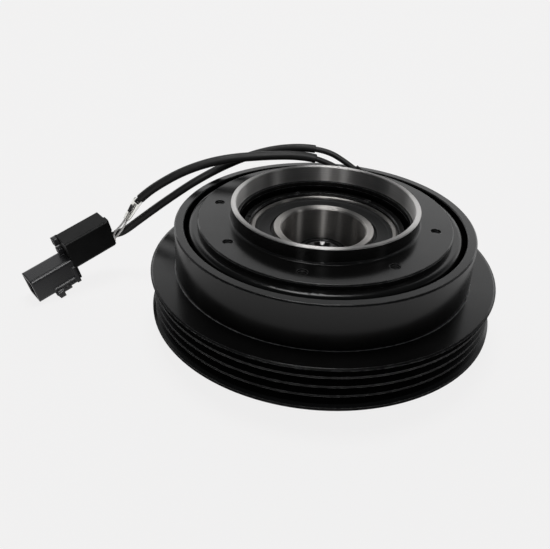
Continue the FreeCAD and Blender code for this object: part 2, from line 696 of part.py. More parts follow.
def connector_cuts():
    length, width, height = SHROUD
    wall = SHROUD_WALL
    mouth = rounded_block((-1, SHROUD_DEPTH), (wall, width - wall), (wall, height - wall), 0.6)
    side_slot = block((7.6, 15.4), (-0.8, -0.35), (0.9, 1.7))
    cuts = [mouth, side_slot, retainer_block(0.0)]
    for y in CAVITY_Y:
        cuts.append(along_x(SEAL_R, SEAL_X[0], BOX_X[1] + 1, y, CAVITY_Z))
        cuts.append(block((SHROUD_DEPTH - 1, SEAL_X[0] + 1), (y - PIN_HALF, y + PIN_HALF), pin_height()))
    return cuts


def pin_height():
    """The pins' span in height; their rear stays in the cavities' line."""
    return (CAVITY_Z - PIN_HALF, CAVITY_Z + PIN_HALF)


def retainer_block(proud):
    return block((22.0, 28.0), (BOX_Y[1] - 2.6, BOX_Y[1] + proud), (11.6, 15.4))


def connector_retainer():
    """Terminal lock pressed into the box's far side."""
    return retainer_block(0.35)


def connector_terminals():
    pins = [block(PIN_X, (y - PIN_HALF, y + PIN_HALF), pin_height()) for y in CAVITY_Y]
    return Part.makeCompound([pin.makeChamfer(0.25, edges_along_x(pin)) for pin in pins])


def wire_seals():
    seals = []
    for y in CAVITY_Y:
        seal = along_x(SEAL_R, SEAL_X[0], SEAL_X[1], y, CAVITY_Z)
        seals.append(seal)
    return Part.makeCompound(seals)


# --- every piece --------------------------------------------------------------------------
def save_leads():
    for name, route, outer_d, start, end in (
        ("lead_a", LEAD_A_ROUTE, SLEEVE_A_D, SLEEVE_A_START, SLEEVE_A_END),
        ("lead_b", LEAD_B_ROUTE, SLEEVE_B_D, SLEEVE_B_START, SLEEVE_B_END),
    ):
        edges, radii = rounded_route(route)
        total = sum(edge.Length for edge in edges)
        print(name, "length", round(total, 1), "radii", [round(r, 1) for r in radii])
        save(f"{name}_wire", pipe(edges, WIRE_D))
        covered = stretch(edges, start, end)
        save(f"{name}_sleeve", sleeve(covered, outer_d, WIRE_D + 2 * SLEEVE_GAP))


def main():
    save("coil_housing", coil_housing())
    save("mounting_flange", mounting_flange())
    save("coil_bobbin", coil_bobbin())
    save("coil_winding", coil_winding())
    save("coil_potting", coil_potting())
    save("lead_grommet", lead_grommet())
    save("bearing_inner_ring", bearing_inner_ring())
    save("bearing_outer_ring", bearing_outer_ring())
    save("bearing_balls", bearing_balls())
    save("bearing_cages", bearing_cages())
    save("seal_rear", bearing_seal(True))
    save("seal_front", bearing_seal(False))
    save("rotor", rotor())
    save("pulley_band", pulley_band())
    save("friction_lining", friction_lining())
    save("hub_boss", hub_boss())
    save("hub_plate", hub_plate())
    save("hub_rivets", hub_rivets())
    save("rubber_stops", rubber_stops())
    save("leaf_springs", leaf_springs())
    save("armature_plate", armature_plate())
    save("armature_rivets", armature_rivets())
    save_leads()
    save("splice_sleeve", splice_sleeve())
    save("tinned_strands", tinned_strands())
    save("suppressor_diode", suppressor_diode())
    save("connector_housing", place_connector(connector_housing()))
    save("connector_retainer", place_connector(connector_retainer()))
    save("connector_terminals", place_connector(connector_terminals()))
    save("wire_seals", place_connector(wire_seals()))


main()
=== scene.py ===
import math

import bmesh
import bpy
from mathutils import Matrix, Vector, noise


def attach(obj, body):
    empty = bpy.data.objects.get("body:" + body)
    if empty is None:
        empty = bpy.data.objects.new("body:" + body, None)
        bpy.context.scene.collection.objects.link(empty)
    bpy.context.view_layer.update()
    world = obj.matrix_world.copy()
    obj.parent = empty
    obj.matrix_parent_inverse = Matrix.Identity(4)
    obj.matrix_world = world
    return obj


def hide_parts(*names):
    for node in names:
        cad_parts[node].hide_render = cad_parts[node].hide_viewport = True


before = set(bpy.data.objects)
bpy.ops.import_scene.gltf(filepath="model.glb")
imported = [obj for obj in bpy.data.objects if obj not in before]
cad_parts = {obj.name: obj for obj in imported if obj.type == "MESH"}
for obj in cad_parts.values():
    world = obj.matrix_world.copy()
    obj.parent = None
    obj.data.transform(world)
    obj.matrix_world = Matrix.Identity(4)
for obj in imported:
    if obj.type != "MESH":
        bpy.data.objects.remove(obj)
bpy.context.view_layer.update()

MM = 0.001
RANGE_SOCKETS = ("From Min", "From Max", "To Min", "To Max")


def mm(*values):
    return Vector(values) * MM


# --- camera, light and floor ---------------------------------------------------------------
CAMERA_AT = mm(0.0, -215.906, 151.807)
# degrees: turned left of +Y, looking down, and rolled about the line of sight
CAMERA_HEADING = 6.032
CAMERA_TILT = 31.84
CAMERA_ROLL = 1.304
LENS_MM = 44.82
SHIFT = (0.03, -0.0073)

# places and sizes of lights and floor, in metres
MIDDLE = (0.0, 0.0, 0.035)
WALL_Y = 1.25
WALL_WIDTH = 3.2
SWEEP_RADIANCE = 0.28
STRIP_DISTANCE = 0.8
STRIP_HEIGHT = 0.51
STRIP_LENGTH = 0.33
LEADS_MIDDLE = (-0.09, 0.01, 0.01)
FLOOR_SIZE = 6.0
FLOOR_DROP = 0.0002
SHEEN_SIZE = 3.0
# the coat's mirror of the floor: dark up to the first distance, light from the second on; the dark middle
# is painted shade, the object's shadow on the floor as the coat mirrors it
SHEEN_FALL = (0.062, 0.13)
SHEEN_LIGHT = (0.05, 0.8)


def add_camera():
    data = bpy.data.cameras.new("camera")
    data.lens = LENS_MM
    data.sensor_width = 36.0
    data.shift_x, data.shift_y = SHIFT
    data.clip_start, data.clip_end = 0.01, 20.0
    camera = bpy.data.objects.new("camera", data)
    bpy.context.scene.collection.objects.link(camera)
    turn = (
        Matrix.Rotation(math.radians(CAMERA_HEADING), 4, "Z")
        @ Matrix.Rotation(math.radians(90.0 - CAMERA_TILT), 4, "X")
        @ Matrix.Rotation(math.radians(CAMERA_ROLL), 4, "Z")
    )
    camera.matrix_world = Matrix.Translation(CAMERA_AT) @ turn
    bpy.context.scene.camera = camera


def add_softbox(name, place, target, size, radiance):
    """Rectangular area light of a given brightness, aimed at a point."""
    data = bpy.data.lights.new(name, "AREA")
    data.shape = "RECTANGLE"
    data.size, data.size_y = size
    data.energy = radiance * math.pi * size[0] * size[1]
    light = bpy.data.objects.new(name, data)
    bpy.context.scene.collection.objects.link(light)
    aim = (Vector(target) - Vector(place)).to_track_quat("-Z", "Y")
    light.matrix_world = Matrix.Translation(Vector(place)) @ aim.to_matrix().to_4x4()
    return light


def around(degrees, distance, height):
    """A place at an azimuth counted from the front (-Y) towards +X."""
    angle = math.radians(degrees)
    return (distance * math.sin(angle), -distance * math.cos(angle), height)


def turned_pieces(name, *nodes):
    """Collection of CAD nodes that a strip light is limited to."""
    group = bpy.data.collections.new(name)
    for node in nodes:
        group.objects.link(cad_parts[node])
    return group


def add_back_wall():
    """Upright white wall in three bands, each darker than the one below it."""
    # name, height of its middle, how tall it is and its radiance
    bands = (
        ("back_low", 0.45, 0.86, 0.98),
        ("back_middle", 0.955, 0.15, 0.44),
        ("back_high", 1.205, 0.35, 0.12),
    )
    for name, height, tall, radiance in bands:
        add_softbox(name, (0.0, WALL_Y, height), (0, 0, height), (WALL_WIDTH, tall), radiance)


def add_strips():
    """Narrow upright lights in front, whose images are the bright streaks in the turned bores."""
    collar = turned_pieces("collar_piece", "mounting_flange")
    bearing = turned_pieces(
        "bearing_pieces", "bearing_inner_ring", "bearing_outer_ring", "hub_boss", "seal_rear",
    )
    # azimuth from the front, strip width, radiance and the pieces it lights
    strips = (
        (74.0, 0.035, 4.5, collar), (2.0, 0.10, 4.0, collar), (-23.0, 0.02, 16.0, collar),
        (74.0, 0.035, 9.5, bearing), (2.0, 0.10, 5.5, bearing), (-45.0, 0.035, 2.5, bearing),
    )
    for i, (azimuth, width, radiance, lit) in enumerate(strips):
        place = around(azimuth, STRIP_DISTANCE, STRIP_HEIGHT)
        strip = add_softbox(f"strip_{i}", place, MIDDLE, (width, STRIP_LENGTH), radiance)
        strip.light_linking.receiver_collection = lit


def add_lights():
    add_back_wall()
    add_softbox("left_sweep", (-1.3, 0.5, 0.45), (0, 0, 0.1), (1.2, 0.8), SWEEP_RADIANCE)
    add_softbox("right_sweep", (1.4, 0.6, 0.45), (0, 0, 0.1), (1.2, 0.8), SWEEP_RADIANCE)
    add_softbox("overhead", (-0.05, 0.12, 1.1), MIDDLE, (0.45, 0.35), 7.0)
    add_strips()
    world = bpy.data.worlds.new("studio")
    bpy.context.scene.world = world
    world.use_nodes = True
    background = world.node_tree.nodes["Background"]
    background.inputs["Color"].default_value = (0.9, 0.95, 1.0, 1.0)
    background.inputs["Strength"].default_value = 0.06


def add_lead_key(pieces):
    """Two soft lights for the leads and connector alone, from the front right and behind left."""
    group = bpy.data.collections.new("lead_pieces")
    for piece in pieces:
        group.objects.link(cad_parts[piece] if isinstance(piece, str) else piece)
    key = add_softbox("lead_key", (0.30, -0.49, 0.77), LEADS_MIDDLE, (0.35, 0.35), 9.0)
    top = add_softbox("lead_top", (-0.65, 0.53, 0.65), LEADS_MIDDLE, (0.5, 0.5), 0.5)
    for light in (key, top):
        light.light_linking.receiver_collection = group


def floor_material(name, paint, light):
    material = bpy.data.materials.new(name)
    material.use_nodes = True
    shader = material.node_tree.nodes["Principled BSDF"]
    shader.inputs["Base Color"].default_value = (paint, paint, paint, 1.0)
    shader.inputs["Roughness"].default_value = 1.0
    shader.inputs["Specular IOR Level"].default_value = 0.0
    shader.inputs["Emission Color"].default_value = (1.0, 0.995, 0.995, 1.0)
    shader.inputs["Emission Strength"].default_value = light
    return material


def add_floor():
    """White sweep; its mirror image in the coat is a separate sheet with a soft dark middle of painted
    shadow.
    """
    bpy.ops.mesh.primitive_plane_add(size=FLOOR_SIZE, location=(0, 0, -FLOOR_DROP))
    floor = bpy.context.object
    floor.name = "floor"
    floor.visible_glossy = False
    floor.data.materials.append(floor_material("floor_paper", 0.10, 0.84))

    bpy.ops.mesh.primitive_plane_add(size=SHEEN_SIZE, location=(0, 0, -2 * FLOOR_DROP))
    sheen = bpy.context.object
    sheen.name = "floor_sheen"
    sheen.visible_camera = False
    sheen.visible_diffuse = False
    sheen.visible_shadow = False
    sheen.visible_transmission = False
    material = floor_material("floor_reflection", 0.0, 0.0)
    tree = material.node_tree
    shader = tree.nodes["Principled BSDF"]
    place = tree.nodes.new("ShaderNodeTexCoord")
    length = tree.nodes.new("ShaderNodeVectorMath")
    length.operation = "LENGTH"
    tree.links.new(place.outputs["Object"], length.inputs[0])
    # emission dark near the middle: a painted shadow of the object on the floor, seen only in reflections
    fall = tree.nodes.new("ShaderNodeMapRange")
    fall.interpolation_type = "SMOOTHSTEP"
    for socket, number in zip(RANGE_SOCKETS, SHEEN_FALL + SHEEN_LIGHT):
        fall.inputs[socket].default_value = number
    tree.links.new(length.outputs["Value"], fall.inputs["Value"])
    tree.links.new(fall.outputs["Result"], shader.inputs["Emission Strength"])
    sheen.data.materials.append(material)


# --- material building ----------------------------------------------------------------------
# sizes of the frame's nodes that the finishes follow
RIM_OUTER_R = 52.6 * MM
BAND_TOP_Z = 23.3 * MM
COLLAR_BORE_R = 31.0 * MM
COLLAR_SEAT_Z = 41.1 * MM
COLLAR_TOP_Z = 47.0 * MM
SPLINE_ROOT_R = 6.5 * MM
ROTOR_FACE_Z = 7.6 * MM
ARMATURE_TOP_Z = 7.1 * MM

NOISE_ROUGHNESS = 0.55
EDGE_COSINES = (0.995, 0.85)  # between rolled and own normal: where an edge starts and is full
LATHE_PITCH = 0.16 * MM
WINDING_PITCH = 0.6 * MM
STREAK_TURN = 0.25  # turns the anisotropic highlight so that it crosses the lathe lines
COAT_SPECULAR = 0.40


class Surface:
    """A Principled material with short helpers for its procedural inputs."""

    def __init__(self, name, **constants):
        self.material = bpy.data.materials.new(name)
        self.material.use_nodes = True
        self.tree = self.material.node_tree
        self.shader = self.tree.nodes["Principled BSDF"]
        for socket, value in constants.items():
            self.shader.inputs[socket.replace("_", " ")].default_value = value

    def node(self, kind, **settings):
        made = self.tree.nodes.new(kind)
        for key, value in settings.items():
            setattr(made, key, value)
        return made

    def fill(self, socket, value):
        if isinstance(value, bpy.types.NodeSocket):
            self.tree.links.new(value, socket)
        else:
            socket.default_value = value

    def into(self, **inputs):
        for socket, value in inputs.items():
            self.fill(self.shader.inputs[socket.replace("_", " ")], value)

    def place(self):
        return self.node("ShaderNodeTexCoord").outputs["Object"]

    def maths(self, operation, a, b=0.0):
        made = self.node("ShaderNodeMath", operation=operation)
        self.fill(made.inputs[0], a)
        self.fill(made.inputs[1], b)
        return made.outputs[0]

    def split(self, vector):
        made = self.node("ShaderNodeSeparateXYZ")
        self.fill(made.inputs[0], vector)
        return made.outputs

    def join(self, x, y, z):
        made = self.node("ShaderNodeCombineXYZ")
        for socket, value in zip(made.inputs, (x, y, z)):
            self.fill(socket, value)
        return made.outputs[0]

    def axis_place(self):
        """Radius, height and angle about the clutch axis."""
        x, y, z = self.split(self.place())
        square = self.maths("ADD", self.maths("MULTIPLY", x, x), self.maths("MULTIPLY", y, y))
        return self.maths("SQRT", square), z, self.maths("ARCTAN2", y, x)

    def noise(self, scale, detail=4.0, vector=None):
        made = self.node("ShaderNodeTexNoise")
        made.inputs["Scale"].default_value = scale
        made.inputs["Detail"].default_value = detail
        made.inputs["Roughness"].default_value = NOISE_ROUGHNESS
        self.fill(made.inputs["Vector"], vector or self.place())
        return made.outputs["Fac"]

    def cells(self, scale):
        made = self.node("ShaderNodeTexVoronoi")
        made.inputs["Scale"].default_value = scale
        self.fill(made.inputs["Vector"], self.place())
        return made.outputs["Distance"]

    def remap(self, value, low, high, to_low=0.0, to_high=1.0):
        made = self.node("ShaderNodeMapRange")
        self.fill(made.inputs["Value"], value)
        for socket, number in zip(RANGE_SOCKETS, (low, high, to_low, to_high)):
            made.inputs[socket].default_value = number
        return made.outputs["Result"]

    def mix(self, amount, a, b):
        made = self.node("ShaderNodeMix", data_type="RGBA")
        self.fill(made.inputs[0], amount)
        self.fill(made.inputs[6], a)
        self.fill(made.inputs[7], b)
        return made.outputs[2]

    def blend(self, amount, a, b):
        made = self.node("ShaderNodeMix", data_type="FLOAT")
        self.fill(made.inputs[0], amount)
        self.fill(made.inputs[2], a)
        self.fill(made.inputs[3], b)
        return made.outputs[0]

    def rounded(self, radius, samples=4):
        """Normal that rolls over sharp edges, as on a real pressed or moulded piece."""
        made = self.node("ShaderNodeBevel", samples=samples)
        self.fill(made.inputs["Radius"], radius)
        return made.outputs["Normal"]

    def edges(self, rolled):
        """0 on open faces, 1 where the rolled normal leaves the surface's own."""
        own = self.node("ShaderNodeNewGeometry").outputs["Normal"]
        dot = self.node("ShaderNodeVectorMath", operation="DOT_PRODUCT")
        self.fill(dot.inputs[0], rolled)
        self.fill(dot.inputs[1], own)
        return self.remap(dot.outputs["Value"], *EDGE_COSINES)

    def bump(self, height, strength, depth, before=None):
        made = self.node("ShaderNodeBump")
        made.inputs["Strength"].default_value = strength
        made.inputs["Distance"].default_value = depth
        self.fill(made.inputs["Height"], height)
        if before is not None:
            self.fill(made.inputs["Normal"], before)
        return made.outputs["Normal"]

    def radial_tangent(self):
        tangent = self.node("ShaderNodeTangent", direction_type="RADIAL", axis="Z").outputs[0]
        self.fill(self.shader.inputs["Tangent"], tangent)


def below(surface, value, limit, soft=0.03 * MM):
    """1 under a limit, 0 over it, with a narrow blend between."""
    return surface.remap(value, limit + soft, limit - soft)


def above(surface, value, limit, soft=0.03 * MM):
    """1 over a limit, 0 under it, with a narrow blend between."""
    return surface.remap(value, limit - soft, limit + soft)


def grey(value, warm=0.0):
    return (value * (1 + warm), value, value * (1 - warm), 1.0)


def turning_lines(surface, radius, height):
    """Fine lathe lines: noise that changes only with radius and height."""
    return surface.noise(0.35 / LATHE_PITCH, detail=2.0, vector=surface.join(radius, height, 0.0))


def turned_streaks(surface, angle, radius):
    """Slow brightness changes round a turned face."""
    round_face = surface.maths("MULTIPLY", angle, 2.2)
    return surface.noise(1.0, detail=3.0, vector=surface.join(round_face, radius, 0.0))


def coat_layers(surface):
    """Colour, roughness and normal of the satin black electro-coat, with dust specks and lighter edges
    that are partly wear and partly a painted highlight.
    """
    blotch = surface.noise(60.0, detail=5.0)
    specks = surface.remap(surface.cells(430.0), 0.05, 0.02)
    rare = surface.remap(surface.noise(170.0, detail=2.0), 0.60, 0.66)
    dust = surface.maths("MULTIPLY", specks, rare)
    rolled = surface.rounded(0.35 * MM)
    edge = surface.edges(rolled)
    # lighter paint on convex edges and concave corners alike: partly edge wear, partly a painted highlight
    # where edges catch the light
    worn_and_edge_highlight = surface.maths("MULTIPLY", edge, surface.remap(surface.noise(420.0), 0.40, 0.62, 0.25, 1.0))
    colour = surface.mix(blotch, grey(0.0048), grey(0.0078, 0.02))
    colour = surface.mix(surface.maths("MULTIPLY", dust, 0.35), colour, grey(0.16))
    colour = surface.mix(surface.maths("MULTIPLY", worn_and_edge_highlight, 0.9), colour, grey(0.22))
    rough = surface.remap(blotch, 0.3, 0.7, 0.17, 0.25)
    normal = surface.bump(surface.noise(1500.0, detail=3.0), 0.10, 0.05 * MM, rolled)
    return colour, rough, normal


def black_coat(name):
    surface = Surface(name, Specular_IOR_Level=COAT_SPECULAR)
    colour, rough, normal = coat_layers(surface)
    surface.into(Base_Color=colour, Roughness=rough, Normal=normal)
    return surface.material


def band_coat():
    """Black coat with a bright line where the band meets the rotor's rim: a painted highlight along the
    pressed joint.
    """
    surface = Surface("band_coat", Specular_IOR_Level=COAT_SPECULAR)
    colour, rough, normal = coat_layers(surface)
    radius, height, _ = surface.axis_place()
    at_rim = below(surface, radius, RIM_OUTER_R + 0.4 * MM)
    # light grey line at the foot of the rim: a painted highlight, not a lighter material
    joint_highlight = surface.maths("MULTIPLY", at_rim, above(surface, height, BAND_TOP_Z - 0.07 * MM))
    broken = surface.remap(surface.noise(300.0), 0.40, 0.60, 0.55, 1.0)
    surface.into(
        Base_Color=surface.mix(surface.maths("MULTIPLY", joint_highlight, broken), colour, grey(0.42)),
        Roughness=surface.blend(joint_highlight, rough, 0.38),
        Normal=normal,
    )
    return surface.material


def steel_layers(surface, tone, warm=0.02):
    """Colour and bump height of a lathe-turned steel face."""
    radius, height, angle = surface.axis_place()
    lines = turning_lines(surface, radius, height)
    streaks = turned_streaks(surface, angle, radius)
    colour = surface.mix(streaks, grey(tone * 0.86, warm), grey(tone * 1.08, warm))
    in_line = surface.remap(lines, 0.35, 0.65, 0.0, 0.25)
    return surface.mix(in_line, colour, grey(tone * 0.6, warm)), lines


def turned_steel(name, tone, rough, aniso, warm):
    surface = Surface(name, Metallic=1.0, Anisotropic=aniso, Anisotropic_Rotation=STREAK_TURN)
    colour, lines = steel_layers(surface, tone, warm)
    rolled = surface.rounded(0.2 * MM)
    normal = surface.bump(lines, 0.18, 0.03 * MM, rolled)
    surface.into(
        Base_Color=colour,
        Roughness=surface.remap(lines, 0.3, 0.7, rough - 0.04, rough + 0.06),
        Normal=normal,
    )
    surface.radial_tangent()
    return surface.material


def part_machined(name, steel_mask, aniso, tone=0.66, rough=0.36):
    """Black coat with some faces machined bare; steel_mask gives 1 on those faces."""
    surface = Surface(name, Specular_IOR_Level=COAT_SPECULAR, Anisotropic_Rotation=STREAK_TURN)
    coat_colour, coat_rough, coat_normal = coat_layers(surface)
    steel_colour, lines = steel_layers(surface, tone)
    radius, height, _ = surface.axis_place()
    bare = steel_mask(surface, radius, height)
    surface.into(
        Base_Color=surface.mix(bare, coat_colour, steel_colour),
        Metallic=bare,
        Anisotropic=surface.maths("MULTIPLY", bare, aniso),
        Roughness=surface.blend(bare, coat_rough, rough),
        Normal=surface.bump(surface.maths("MULTIPLY", lines, bare), 0.18, 0.03 * MM, coat_normal),
    )
    surface.radial_tangent()
    return surface.material


def collar_faces(surface, radius, height):
    """The locating bore down to its shoulder, and the collar's top ring."""
    inside = below(surface, radius, COLLAR_BORE_R + 0.06 * MM)
    bore = surface.maths("MULTIPLY", inside, above(surface, height, COLLAR_SEAT_Z + 0.06 * MM))
    top = above(surface, height, COLLAR_TOP_Z - 0.29 * MM)
    return surface.maths("MAXIMUM", bore, top)


def spline_faces(surface, radius, height):
    """Teeth of the boss, which are cut after coating."""
    return below(surface, radius, SPLINE_ROOT_R + 0.1 * MM)


def rotor_faces(surface, radius, height):
    """The friction face, ground bare."""
    return below(surface, height, ROTOR_FACE_Z + 0.04 * MM)


def armature_faces(surface, radius, height):
    """The face that meets the rotor, ground bare."""
    return above(surface, height, ARMATURE_TOP_Z - 0.04 * MM, soft=0.02 * MM)


def plain(name, colour, rough, bump_scale=900.0, bump=0.1, vary=0.2, **constants):
    """Uniform material with mottling, rolled edges and fine grain."""
    surface = Surface(name, **constants)
    blotch = surface.noise(120.0, detail=5.0)
    dark = tuple(c * (1 - vary) for c in colour[:3]) + (1.0,)
    light = tuple(c * (1 + vary) for c in colour[:3]) + (1.0,)
    rolled = surface.rounded(0.2 * MM)
    surface.into(
        Base_Color=surface.mix(blotch, dark, light),
        Roughness=surface.remap(blotch, 0.3, 0.7, rough - 0.05, rough + 0.05),
        Normal=surface.bump(surface.noise(bump_scale, detail=3.0), bump, 0.06 * MM, rolled),
    )
    return surface.material


def clear_plastic():
    surface = Surface("clear_sleeve", Transmission_Weight=1.0, IOR=1.42, Roughness=0.06)
    haze = surface.noise(500.0, detail=3.0)
    surface.into(
        Base_Color=surface.mix(haze, (0.93, 0.93, 0.90, 1.0), (0.99, 0.99, 0.97, 1.0)),
        Normal=surface.bump(haze, 0.25, 0.1 * MM),
    )
    return surface.material


def copper_winding():
    """Enamelled wire, wound in close turns, darker in the hollows between turns as painted shade."""
    surface = Surface("copper_winding", Metallic=0.9, Roughness=0.32)
    radius, height, _ = surface.axis_place()
    turns = surface.maths("SINE", surface.maths("MULTIPLY", height, math.tau / WINDING_PITCH))
    layers = surface.maths("SINE", surface.maths("MULTIPLY", radius, math.tau / WINDING_PITCH))
    height_map = surface.maths("ADD", turns, layers)
    # the colour darkens where the turns dip: painted shade in the hollows between them
    tone = surface.remap(height_map, -2.0, 2.0)
    surface.into(
        Base_Color=surface.mix(tone, (0.20, 0.06, 0.02, 1.0), (0.72, 0.30, 0.12, 1.0)),
        Normal=surface.bump(height_map, 0.6, 0.1 * MM),
    )
    return surface.material


def lining_material():
    surface = Surface("friction_lining", Specular_IOR_Level=0.2, Roughness=0.85)
    chips = surface.remap(surface.cells(900.0), 0.15, 0.30)
    base = surface.mix(surface.noise(500.0), (0.035, 0.028, 0.022, 1.0), (0.09, 0.075, 0.06, 1.0))
    surface.into(
        Base_Color=surface.mix(chips, (0.32, 0.26, 0.15, 1.0), base),
        Normal=surface.bump(surface.noise(1300.0), 0.3, 0.1 * MM),
    )
    return surface.material


# the connector's lowest corner, its direction towards the leads and its shroud's length from there
CONNECTOR_TIP = mm(-106.0, -9.0, 0.15)
CONNECTOR_AXIS = Vector((0.6905, 0.6786, 0.2504))
SHROUD_LENGTH = 17.4 * MM


def connector_plastic():
    """Black polyester moulding: the shroud is polished and painted lighter than the box, a painted
    reflection of the bright floor beside it; the rear box has a duller grain.
    """
    surface = Surface("connector_plastic")
    grain = surface.noise(2600.0, detail=2.0)
    flow = surface.noise(140.0, detail=4.0)
    along = surface.node("ShaderNodeVectorMath", operation="DOT_PRODUCT")
    surface.fill(along.inputs[0], surface.place())
    along.inputs[1].default_value = CONNECTOR_AXIS
    reach = along.outputs["Value"]
    shroud_end = CONNECTOR_TIP.dot(CONNECTOR_AXIS) + SHROUD_LENGTH
    shroud = below(surface, reach, shroud_end, soft=0.2 * MM)
    rolled = surface.rounded(surface.blend(shroud, 0.3 * MM, 1.1 * MM), samples=8)
    dull = surface.mix(flow, grey(0.0030), grey(0.0055, -0.02))
    # the shroud's lighter colour is a painted reflection of the bright floor beside it
    polished_with_painted_reflection = surface.mix(flow, (0.0110, 0.0110, 0.0122, 1.0), (0.0155, 0.0155, 0.0170, 1.0))
    colour = surface.mix(shroud, dull, polished_with_painted_reflection)
    rub = surface.maths("MULTIPLY", surface.edges(rolled), surface.remap(flow, 0.45, 0.65))
    dull_rough = surface.remap(flow, 0.3, 0.7, 0.42, 0.52)
    polished_rough = surface.remap(flow, 0.3, 0.7, 0.24, 0.32)
    surface.into(
        Base_Color=surface.mix(surface.maths("MULTIPLY", rub, 0.10), colour, grey(0.05)),
        Roughness=surface.blend(shroud, dull_rough, polished_rough),
        Specular_IOR_Level=surface.blend(shroud, 0.2, 0.6),
        Normal=surface.bump(grain, 0.05, 0.03 * MM, rolled),
    )
    return surface.material


def sleeve_vinyl(name, level=1.0):
    """Extruded black vinyl with faint die lines and handling marks."""
    surface = Surface(name, Specular_IOR_Level=0.45)
    flow = surface.noise(260.0, detail=5.0)
    grain = surface.noise(1800.0, detail=2.0)
    colour = surface.mix(flow, grey(0.008 * level), grey(0.016 * level, 0.02))
    surface.into(
        Base_Color=colour,
        Roughness=surface.remap(flow, 0.3, 0.7, 0.42, 0.54),
        Normal=surface.bump(grain, 0.14, 0.05 * MM),
    )
    return surface.material


def assign(node, material):
    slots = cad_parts[node].data.materials
    if not slots:
        slots.append(material)
    for i in range(len(slots)):
        slots[i] = material


def dress_nodes():
    coat = black_coat("black_coat")
    steel = turned_steel("bearing_steel", tone=0.55, rough=0.40, aniso=1.0, warm=0.04)
    rivets = plain("rivet_steel", grey(0.50, 0.01), 0.38, bump_scale=1400.0, vary=0.12, Metallic=1.0)
    rubber = plain("moulded_rubber", grey(0.012), 0.62, bump=0.2, Specular_IOR_Level=0.3)
    nylon = plain("bobbin_nylon", (0.55, 0.50, 0.38, 1.0), 0.45, Subsurface_Weight=0.05)
    spring = plain("spring_steel", grey(0.34, -0.03), 0.27, bump_scale=2200.0, vary=0.12, Metallic=1.0)
    looks = {
        "rotor": part_machined("rotor_coat", rotor_faces, aniso=0.5),
        "pulley_band": band_coat(),
        "coil_housing": coat,
        "mounting_flange": part_machined("flange_coat", collar_faces, aniso=1.0, rough=0.42),
        "armature_plate": part_machined("armature_coat", armature_faces, aniso=0.5),
        "hub_plate": coat,
        "hub_boss": part_machined("hub_coat", spline_faces, aniso=0.5, tone=0.42, rough=0.3),
        "hub_rivets": rivets,
        "armature_rivets": rivets,
        "leaf_springs": spring,
        "rubber_stops": rubber,
        "lead_grommet": rubber,
        "friction_lining": lining_material(),
        "bearing_inner_ring": steel,
        "bearing_outer_ring": steel,
        "bearing_balls": plain("ball_steel", grey(0.72), 0.09, bump=0.01, vary=0.04, Metallic=1.0),
        "bearing_cages": plain("cage_nylon", (0.02, 0.05, 0.04, 1.0), 0.4),
        "seal_rear": plain("seal_rubber", grey(0.022), 0.5, bump=0.15, Specular_IOR_Level=0.35),
        "coil_bobbin": nylon,
        "coil_winding": copper_winding(),
        "coil_potting": plain("potting_resin", grey(0.02, 0.05), 0.3, Coat_Weight=0.3),
        "connector_housing": connector_plastic(),
        "connector_retainer": plain("retainer_plastic", grey(0.03), 0.4, Specular_IOR_Level=0.4),
        "connector_terminals": plain("tin_plate", grey(0.62, 0.01), 0.28, vary=0.08, Metallic=1.0),
        "wire_seals": plain("seal_silicone", grey(0.55, 0.03), 0.35, Subsurface_Weight=0.1),
    }
    looks["seal_front"] = looks["seal_rear"]
    for node, material in looks.items():
        assign(node, material)


# --- leads ----------------------------------------------------------------------------------
LEAD_A_ROUTE = (
    (4.6, 37.4, 43.6), (-1.4, 37.0, 46.8), (-10.5, 35.8, 49.2), (-25.5, 32.9, 49.2), (-41.0, 28.8, 48.4),
    (-54.5, 25.0, 44.7), (-65.5, 22.0, 38.6), (-71.2, 20.6, 34.2), (-73.8, 19.7, 31.6),
)
LEAD_B_ROUTE = (
    (10.4, 38.0, 43.8), (6.4, 38.6, 46.5), (-0.6, 39.4, 50.1), (-11.5, 39.8, 51.0),
    (-25.0, 39.4, 48.9), (-38.4, 35.2, 44.6), (-51.5, 27.6, 39.0), (-64.0, 22.4, 30.8),
    (-73.6, 20.1, 23.5), (-79.2, 19.8, 18.8), (-82.4, 19.65, 17.1), (-85.75, 19.55, 16.3),
)
# diameters, lengths and walls in mm, as the routes are, unless they carry MM
WIRE_D = 2.2
STRAND_BUNDLE_D = 0.8
STRANDS_ROUND = 6
STRAND_SIDES = 10
STRAND_STEP = 0.25 * MM
SLEEVE_A = dict(outer=3.5, start=10.6, end=83.8)
SLEEVE_B = dict(outer=3.1, start=17.6, end=108.0)
SLEEVE_BORE = 2.3
SLEEVE_SIDES = 40
RING_STEP = 0.5 * MM
LIP_RADIUS = 0.22 * MM
LIP_RING_STEPS = (0.06, 0.16, 0.32)
UNEVEN = 0.04 * MM
UNEVEN_ALONG = 90.0  # noise cells per metre of sleeve
UNEVEN_ROUND = 0.6  # radius of its walk through the noise once round
SPLICE_START_R = 1.95
SPLICE_END_R = 1.30
SPLICE_WALL = 0.16
SPLICE_GRIP = 0.18
SPLICE_GRIP_AT = 0.02  # share of its length
SPLICE_GRIP_SPREAD = 0.06
SPLICE_WAVE = 0.05
SPLICE_RIPPLES = 2600.0  # radians per metre
SPLICE_TWIST = 900.0
SPLICE_SIDES = 36
SPLICE_STEP = 0.2 * MM
SPLICE_ROUTE = ((-73.0, 20.0, 32.6), (-75.5, 19.1, 28.6), (-77.9, 18.2, 24.7))
